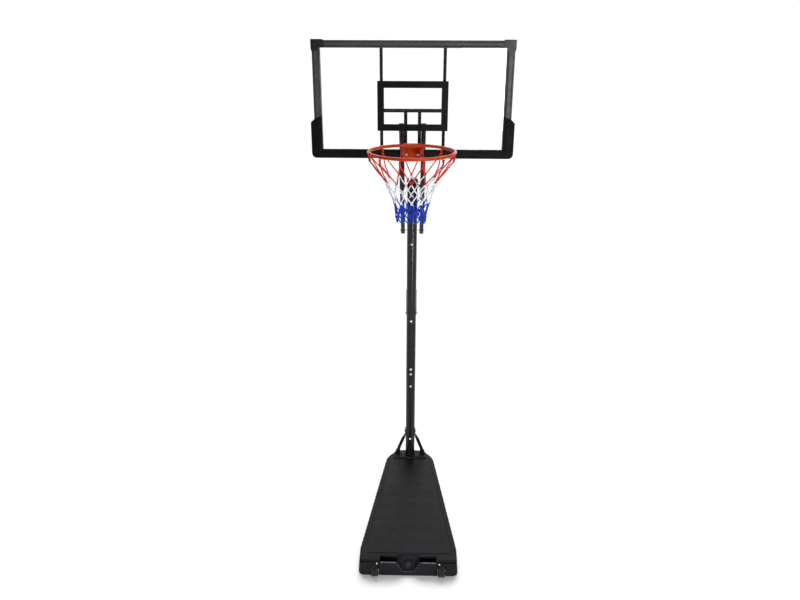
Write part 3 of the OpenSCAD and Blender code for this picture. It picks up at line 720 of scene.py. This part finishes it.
# ---------------------------------------------------------------- board trims
def make_pads():
    for side, sx in (("left", -1), ("right", 1)):
        ob = formed_copy(f"{side}_edge_pad", f"{side}_corner_pad", 0.0020, (), 3)
        co, no = coords(ob.data), normals(ob.data)
        x, z = co[:, 0] * sx, co[:, 2]
        front = (no[:, 1] < -0.75) & (co[:, 1] < 0.0145)
        # distance from the pad's outline, seen from the front
        poly = [(0.056, 2.571), (0.5675, 2.571), (0.5965, 2.600), (0.5965, 2.777), (0.5765, 2.797), (0.5305, 2.817), (0.5305, 2.623), (0.056, 2.623)]
        best = np.full(len(co), 9.0)
        for p, q in zip(poly, poly[1:] + poly[:1]):
            dx, dz = q[0] - p[0], q[1] - p[1]
            t = np.clip(((x - p[0]) * dx + (z - p[1]) * dz) / (dx * dx + dz * dz), 0, 1)
            best = np.minimum(best, np.hypot(x - p[0] - t * dx, z - p[1] - t * dz))
        crown = 0.0034 * np.sqrt(smooth01(best / 0.022)) - 0.0016
        seam = 0.0016 * np.exp(-(((best - 0.0105) / 0.0018) ** 2))
        co[:, 1] -= np.where(front, crown - seam, 0)
        set_coords(ob.data, co)
        dress(ob, "edge_padding", "board", [f"{side}_edge_pad"])


def make_frame_crease_shade():
    """Dark cords laid in the two creases along each frame tube's front, as painted shade in the creases."""
    hw, zt, zbi = 0.5765, 3.190, 2.617
    parts = []

    def cord(a, b, r=0.0036):
        a, b = Vector(a), Vector(b)
        n = 60
        path = [a.lerp(b, i / n) for i in range(n + 1)]
        rad = [r * (1 + 0.06 * math.sin(0.7 * i)) * (0.6 if i in (0, n) else 1) for i in range(n + 1)]
        parts.append(sweep(path, rad, 10))

    for d in (0.0100, 0.0310):
        cord((-hw + 0.05, 0.0199, 3.231 - d), (hw - 0.05, 0.0199, 3.231 - d))
        for s in (-1, 1):
            e = d if d < 0.02 else 0.0360
            cord((s * (hw - e), 0.0199, zbi + 0.180), (s * (hw - e), 0.0199, zt - 0.012))
    v, f = weave_in(parts)
    add_mesh("frame_crease_shade", v, f, "gasket_rubber", "board")


def make_scoop_lip():
    """Raised lip round the lower edge of the filler scoop, on the front wall."""

    def wall(z):
        return -0.600 - 0.006 * (0.092 - z) / 0.088

    knots = [(-0.0705, 0.0905), (-0.0650, 0.0812), (-0.0500, 0.0545), (-0.0410, 0.0375), (-0.0340, 0.0318), (0.0, 0.0312)]
    knots += [(-x, z) for x, z in reversed(knots[:-1])]
    path = curve_points([(x, wall(z) + 0.0012, z - 0.0012) for x, z in knots], 0.004)
    n = len(path)
    rad = [0.0030 * math.sqrt(max(0.06, 1 - abs(2 * i / (n - 1) - 1) ** 24)) for i in range(n)]
    parts = [sweep(path, rad, 12)]
    # rounded lips on the two grips
    for s in (-1, 1):
        ends = (s * 0.0745, s * 0.1795)
        line = [(ends[0] + (ends[1] - ends[0]) * i / 40, -0.5962, 0.0948) for i in range(41)]
        rad = [0.0040 * math.sqrt(max(0.06, 1 - abs(i / 20 - 1) ** 30)) for i in range(41)]
        parts.append(sweep(line, rad, 14))
    v, f = weave_in(parts)
    add_mesh("front_lips", v, f, "moulded_plastic", "stand")


def make_welds():
    """Weld beads where the ring meets its bracket, and on the board's rear bars."""
    rnd = random.Random(3)

    def bead(a, b, r, bulge=Vector((0, 0, 0))):
        a, b = Vector(a), Vector(b)
        n = max(8, int((b - a).length / 0.0022))
        path, rad = [], []
        for i in range(n + 1):
            t = i / n
            path.append(a.lerp(b, t) + bulge * math.sin(math.pi * t))
            rad.append(r * (0.86 + 0.20 * abs(math.sin(1.25 * i)) + 0.05 * rnd.random()) * (0.55 if i in (0, n) else 1))
        return sweep(path, rad, 10)

    rim = []
    for s in (-1, 1):
        # along the ring, beside the top plate
        path, rad = [], []
        for i in range(17):
            a = math.radians(90 - s * (0.6 + 11.2 * i / 16))
            path.append(Vector((0.2335 * math.cos(a), -0.360 + 0.2335 * math.sin(a), 2.6617)))
            rad.append(0.0026 * (0.86 + 0.2 * abs(math.sin(1.25 * i))))
        rim.append(sweep(path, rad, 10))
        rim.append(bead((s * 0.0465, 0.0113, 2.575), (s * 0.0465, 0.0113, 2.650), 0.0022))
    v, f = weave_in(rim)
    add_mesh("rim_weld_beads", v, f, "rim_coat", "board")
    rear = []
    for s in (-1, 1):
        for z in (2.833, 2.853):
            rear.append(bead((s * 0.1738, 0.0515, z), (s * 0.1738, 0.0670, z), 0.0017))
        rear.append(bead((s * 0.032, 0.0690, 2.8330), (s * 0.050, 0.0690, 2.8330), 0.0018))
        rear.append(bead((s * 0.0515, 0.0530, 2.8328), (s * 0.0515, 0.0680, 2.8328), 0.0016))
    v, f = weave_in(rear)
    add_mesh("rear_weld_beads", v, f, "steel_coat", "board")


# ---------------------------------------------------------------- net
def make_net():
    rnd = random.Random(11)
    cy = -0.360
    rows = [
        (2.5200, 0.1490, 0.0),
        (2.4640, 0.1255, 15.0),
        (2.4130, 0.1060, 0.0),
        (2.3620, 0.0930, 15.0),
        (2.3150, 0.0830, 0.0),
    ]
    r = 0.0033

    def place(deg, rad, z):
        a = math.radians(deg)
        return Vector((rad * math.cos(a), cy + rad * math.sin(a), z))

    knots = []
    for k, (z, rad, off) in enumerate(rows):
        row = []
        for i in range(12):
            row.append(
                place(
                    off + 30 * i + rnd.uniform(-2.6, 2.6) * (0.6 + 0.25 * k),
                    rad + rnd.uniform(-0.004, 0.001),
                    z + rnd.uniform(-0.0055, 0.0055),
                )
            )
        knots.append(row)
    parts = []
    cords = []

    def lay(points, rr=r):
        cords.append(points)
        parts.append(sweep(curve_points(points, 0.0030), rr, 9, 3, 0.17, 0.016, phase=rnd.uniform(0, 6)))

    def sagging(a, b, bow):
        out = (a + b) / 2 - Vector((0, cy, 0))
        out.z = 0
        side = (b - a).cross(out).normalized()
        mid = (a + b) / 2 + out.normalized() * bow + side * rnd.uniform(-0.0035, 0.0035)
        mid.z -= abs(bow) * 0.6
        q1 = a.lerp(mid, 0.5) + Vector((0, 0, -0.0006))
        q2 = b.lerp(mid, 0.5) + Vector((0, 0, -0.0006))
        return [a, q1, mid, q2, b]

    # from the hooks down to the first row
    hook_knots = []
    for i in range(12):
        deg = 15 + 30 * i
        tie = place(deg + rnd.uniform(-0.5, 0.5), 0.2325, 2.6335 + rnd.uniform(-0.003, 0.002))
        hook_knots.append(tie)
        a = math.radians(deg)
        tang = Vector((-math.sin(a), math.cos(a), 0))
        left, right = knots[0][i], knots[0][(i + 1) % 12]
        over = place(deg, 0.2340, 2.6571)
        outer = place(deg, 0.2385, 2.6500)
        inner = place(deg, 0.2295, 2.6500)
        low_o = tie + tang * -0.0022 + (outer - over) * 0.25
        low_i = tie + tang * 0.0022 + (inner - over) * 0.25
        mid_l = low_o.lerp(left, 0.5) + Vector((0, 0, -0.003)) - tang * rnd.uniform(0.0, 0.004)
        mid_r = low_i.lerp(right, 0.5) + Vector((0, 0, -0.003)) + tang * rnd.uniform(0.0, 0.004)
        lay([left, low_o.lerp(left, 0.78), mid_l, low_o.lerp(left, 0.2), low_o, outer, over, inner, low_i,
             low_i.lerp(right, 0.2), mid_r, low_i.lerp(right, 0.78), right])
    # diamonds
    for k in range(4):
        for i in range(12):
            a = knots[k][i]
            shift = 0 if rows[k][2] == 0.0 else 1
            for j in ((i - 1 + shift) % 12, (i + shift) % 12):
                lay(sagging(a, knots[k + 1][j], rnd.uniform(-0.002, 0.0035)))
    # hanging loops at the foot
    last = knots[4]
    for i in range(12):
        a, b = last[i], last[(i + 1) % 12]
        mid = (a + b) / 2
        out = Vector((mid.x, mid.y - cy, 0)).normalized()
        low = mid + out * rnd.uniform(-0.006, 0.004)
        low.z = max(2.2785, min(a.z, b.z) - rnd.uniform(0.020, 0.040))
        qa = a.lerp(low, 0.5) + Vector((0, 0, -0.004)) + out * 0.002
        qb = b.lerp(low, 0.5) + Vector((0, 0, -0.004)) + out * 0.002
        lay([a, qa, low, qb, b])

    # knots: two and a half turns round the cords that meet there
    def knot(at, axis, rad, turns, rr):
        axis = axis.normalized()
        u = axis.cross(Vector((0, 0, 1)) if abs(axis.z) < 0.9 else Vector((1, 0, 0))).normalized()
        w = axis.cross(u)
        n = int(14 * turns)
        ph = rnd.uniform(0, 6.28)
        path = []
        for i in range(n + 1):
            t = i / n
            g = ph + 2 * math.pi * turns * t
            q = rad * (1 + 0.10 * math.sin(3 * g + ph))
            path.append(at + u * (q * math.cos(g)) + w * (q * math.sin(g)) + axis * ((t - 0.5) * 1.9 * rr * turns))
        parts.append(sweep(path, rr, 8, 3, 0.15, 0.014))

    for k, row in enumerate(knots):
        for p in row:
            out = Vector((p.x, p.y - cy, 0)).normalized()
            slant = 0.75 if k == 0 else 0.3
            knot(p, Vector((out.x * slant, out.y * slant, 1.0)), 0.0042, 2.4, 0.0024)
    for p in hook_knots:
        knot(p, Vector((0, 0, 1)), 0.0044, 1.9, 0.0024)
    v, f = weave_in(parts)
    add_mesh("knotted_net", v, f, "net_cord", "board", True, ["net"])
    total = 0.0
    for c in cords:
        q = curve_points(c, 0.003)
        total += sum((b - a).length for a, b in zip(q, q[1:]))
    print("net cord in all, metres:", round(total, 2))


# ---------------------------------------------------------------- CAD nodes that stay
BEVEL = {  # width of the rounded edge in millimetres, and its segments
    "fill_cap": (0.7, 2), "left_wheel_hub": (0.7, 2), "right_wheel_hub": (0.7, 2),
    "wheel_well_screws": (0.8, 2), "wheel_axles": (0.6, 2), "strut_foot_screws": (0.5, 2), "strut_pole_bolt": (0.6, 2),
    "lower_pole": (0.8, 2), "middle_pole": (0.8, 2), "upper_pole": (0.8, 2), "pole_foot_plug": (0.8, 2), "pole_top_cap": (1.6, 3),
    "pole_bolts": (0.5, 2), "pole_nuts": (0.5, 2), "arm_pole_bolts": (0.6, 2), "arm_pole_nuts": (0.5, 2), "arm_pole_spacers": (0.5, 2),
    "adjuster_pivot_bolt": (0.5, 2), "lower_arm_left": (2.2, 3), "lower_arm_right": (2.2, 3), "upper_arm_left": (2.2, 3),
    "upper_arm_right": (2.2, 3), "lower_arm_plugs": (1.4, 3), "upper_arm_plugs": (1.4, 3), "tail_bolt": (0.5, 2), "tail_bush": (0.8, 2),
    "adjuster_yoke": (0.6, 2), "adjuster_tube": (1.8, 3), "adjuster_guide": (1.2, 3), "lock_pin_housing": (0.6, 2), "adjuster_bar": (1.4, 3),
    "lock_pin": (1.2, 3), "backboard_panel": (0.4, 2), "frame_top": (0.9, 3), "frame_bottom": (0.9, 3), "frame_left": (0.9, 3),
    "frame_right": (0.9, 3), "top_corner_caps": (1.5, 3), "target_square": (0.3, 2), "rear_bar_left": (1.3, 3), "rear_bar_right": (1.3, 3),
    "rear_cross_bar": (1.3, 3), "pivot_bar_left": (1.5, 3), "pivot_bar_right": (1.5, 3), "board_bolts": (0.5, 2),
    "arm_board_bolts": (0.6, 2), "arm_board_nuts": (0.5, 2), "rim_bracket": (1.2, 3), "rim_bolts": (0.6, 2), "fill_cap_gasket": (0.3, 2),
}
SLOT_OF = {s["node"]: s["material_slot"] for s in frame["record"]["subparts"]}


def finish_cad():
    for name, ob in NODES.items():
        slot = SLOT_OF[name]
        ob.data.materials.clear()
        ob.data.materials.append(MATS[slot])
        if ob.hide_render:
            continue
        attr = ob.data.attributes.get("custom_normal")
        if attr is not None:
            ob.data.attributes.remove(attr)
        ob.data.polygons.foreach_set("use_smooth", [True] * len(ob.data.polygons))
        w = ob.modifiers.new("weld", "WELD")
        w.merge_threshold = 0.00002
        if name in BEVEL:
            width, seg = BEVEL[name]
            d = ob.modifiers.new("flats", "DECIMATE")
            d.decimate_type = "DISSOLVE"
            d.angle_limit = math.radians(0.4)
            b = ob.modifiers.new("edges", "BEVEL")
            b.limit_method = "ANGLE"
            b.angle_limit = math.radians(32)
            b.width = width / 1000
            b.segments = seg
            b.use_clamp_overlap = True
            b.miter_outer = "MITER_ARC"
        n = ob.modifiers.new("normals", "WEIGHTED_NORMAL")
        n.keep_sharp = True
        n.weight = 80


make_tank()
make_scoop_ribs()
make_struts()
for side, x0 in (("left", -0.215), ("right", 0.215)):
    make_wheel(side, x0)
    make_hub(side, x0)
make_pads()
make_frame_crease_shade()
make_scoop_lip()
make_welds()
make_net()
finish_cad()

bpy.context.view_layer.update()
